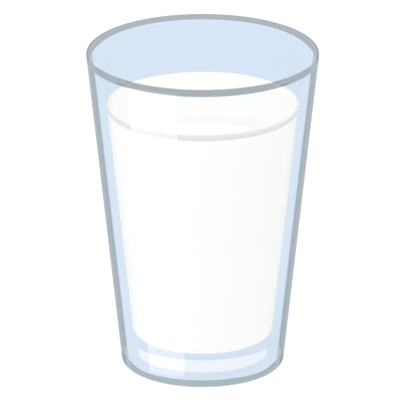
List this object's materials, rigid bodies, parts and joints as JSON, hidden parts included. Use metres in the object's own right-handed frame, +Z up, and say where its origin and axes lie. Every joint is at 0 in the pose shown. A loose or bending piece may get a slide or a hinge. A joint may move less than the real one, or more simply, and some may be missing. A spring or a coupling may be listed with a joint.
{
  "type": "glass of milk",
  "caption": "Tapered clear glass tumbler with a heavy base and a rounded lip, filled with white milk to a little below the rim.",
  "frame": {"origin": "centre of the flat ring that the tumbler stands on, on the axis of the glass", "axes": "+Z up along the axis of the glass, from the base to the rim; the part looks the same all round, so +X and +Y are any two level directions"},
  "size_m": [0.085, 0.085, 0.1205],
  "materials": {
    "clear_glass": "clear pressed glass with a faint cool blue tint, fire-polished lip",
    "fresh_milk": "opaque white liquid with a still, slightly glossy surface"
  },
  "bodies": {
    "root": {"glass": "clear_glass", "milk": "fresh_milk"}
  },
  "joints": []
}
